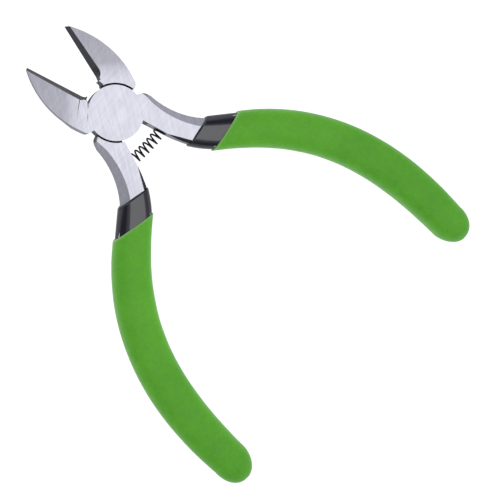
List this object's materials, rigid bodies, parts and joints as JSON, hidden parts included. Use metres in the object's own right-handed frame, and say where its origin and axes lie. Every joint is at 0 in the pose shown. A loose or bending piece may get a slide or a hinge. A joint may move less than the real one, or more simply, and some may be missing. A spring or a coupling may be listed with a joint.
{
  "type": "flush cut pliers",
  "caption": "Hand pliers with bevelled flush-cutting jaws on a riveted lap joint, a coil return spring between the handles, and dipped black sleeves under soft green grips.",
  "frame": {"origin": "on the pivot axis, at the back face of the lap joint", "axes": "+Z along the pivot axis towards the bevelled front of the jaws, +Y along the tool towards the jaw tips, +X to the right seen from the front"},
  "size_m": [0.122, 0.1441, 0.0114],
  "materials": {
    "steel": "fine brushed satin",
    "spring": "black oxide",
    "sleeve": "glossy dipped vinyl",
    "grip": "soft fine-grained foamed vinyl"
  },
  "bodies": {
    "front_lever": {"front_half": "steel", "front_sleeve": "sleeve", "front_grip": "grip", "pivot_rivet": "steel", "return_spring": "spring"},
    "back_lever": {"back_half": "steel", "back_sleeve": "sleeve", "back_grip": "grip"}
  },
  "joints": [
    {"name": "pivot", "type": "hinge", "parent": "front_lever", "child": "back_lever", "pos_m": [0, 0, 0.0045], "axis": [0, 0, 1], "range_deg": [-8, 33], "stiffness_Nm_per_rad": 0.05, "deforming": ["return_spring"]}
  ]
}
